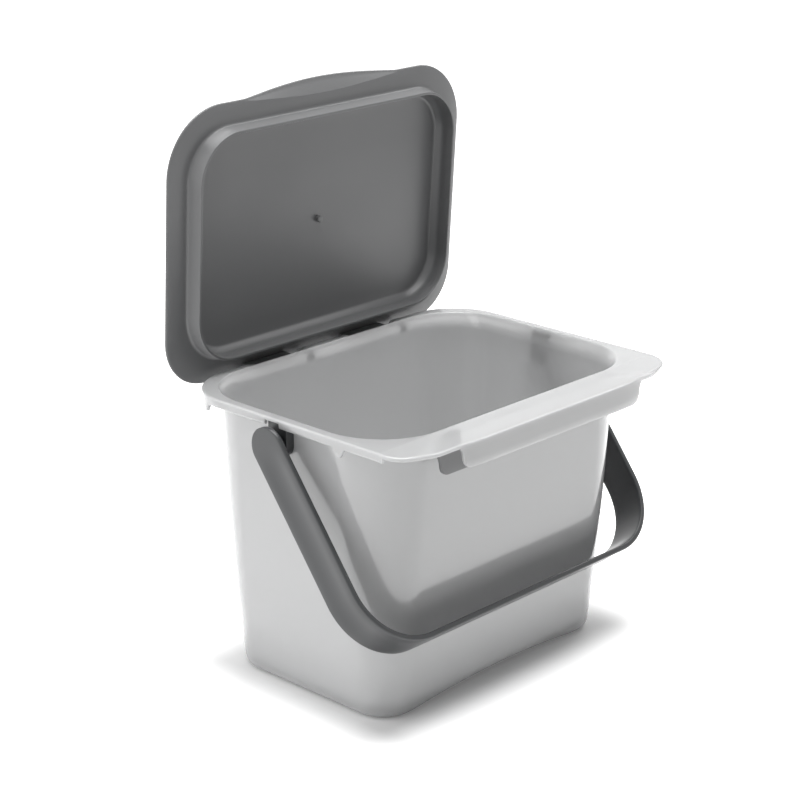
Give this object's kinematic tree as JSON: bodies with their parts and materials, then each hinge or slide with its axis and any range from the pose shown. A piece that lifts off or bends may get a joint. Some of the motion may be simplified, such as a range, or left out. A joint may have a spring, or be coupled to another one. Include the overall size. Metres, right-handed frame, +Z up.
{
  "type": "compost caddy with hinged lid",
  "caption": "Light grey kitchen compost caddy with a dark hinged lid standing open, a swinging belt-like bail and a front lip with a hanging channel.",
  "frame": {"origin": "middle of the overall length and width, with the lid open as at rest, on the surface it stands on", "axes": "+Z up, -Y towards the front lip, +Y towards the hinge, X across the width"},
  "size_m": [0.2634, 0.2064, 0.3576],
  "materials": {
    "light_plastic": "smooth light grey polypropylene, slightly milky",
    "dark_plastic": "smooth dark grey polypropylene with a soft sheen"
  },
  "bodies": {
    "body": {"bucket": "light_plastic", "pivot_block_left": "dark_plastic", "pivot_block_right": "dark_plastic", "hanging_plate": "dark_plastic"},
    "lid": {"lid": "dark_plastic"},
    "bail": {"bail": "dark_plastic"}
  },
  "joints": [
    {"name": "lid_hinge", "type": "hinge", "parent": "body", "child": "lid", "pos_m": [0, 0.09387, 0.1806], "axis": [-1, 0, 0], "range_deg": [-86.3, 18.7]},
    {"name": "bail_swing", "type": "hinge", "parent": "body", "child": "bail", "pos_m": [0, 0.00718, 0.168], "axis": [-1, 0, 0], "range_deg": [0, 160]}
  ]
}
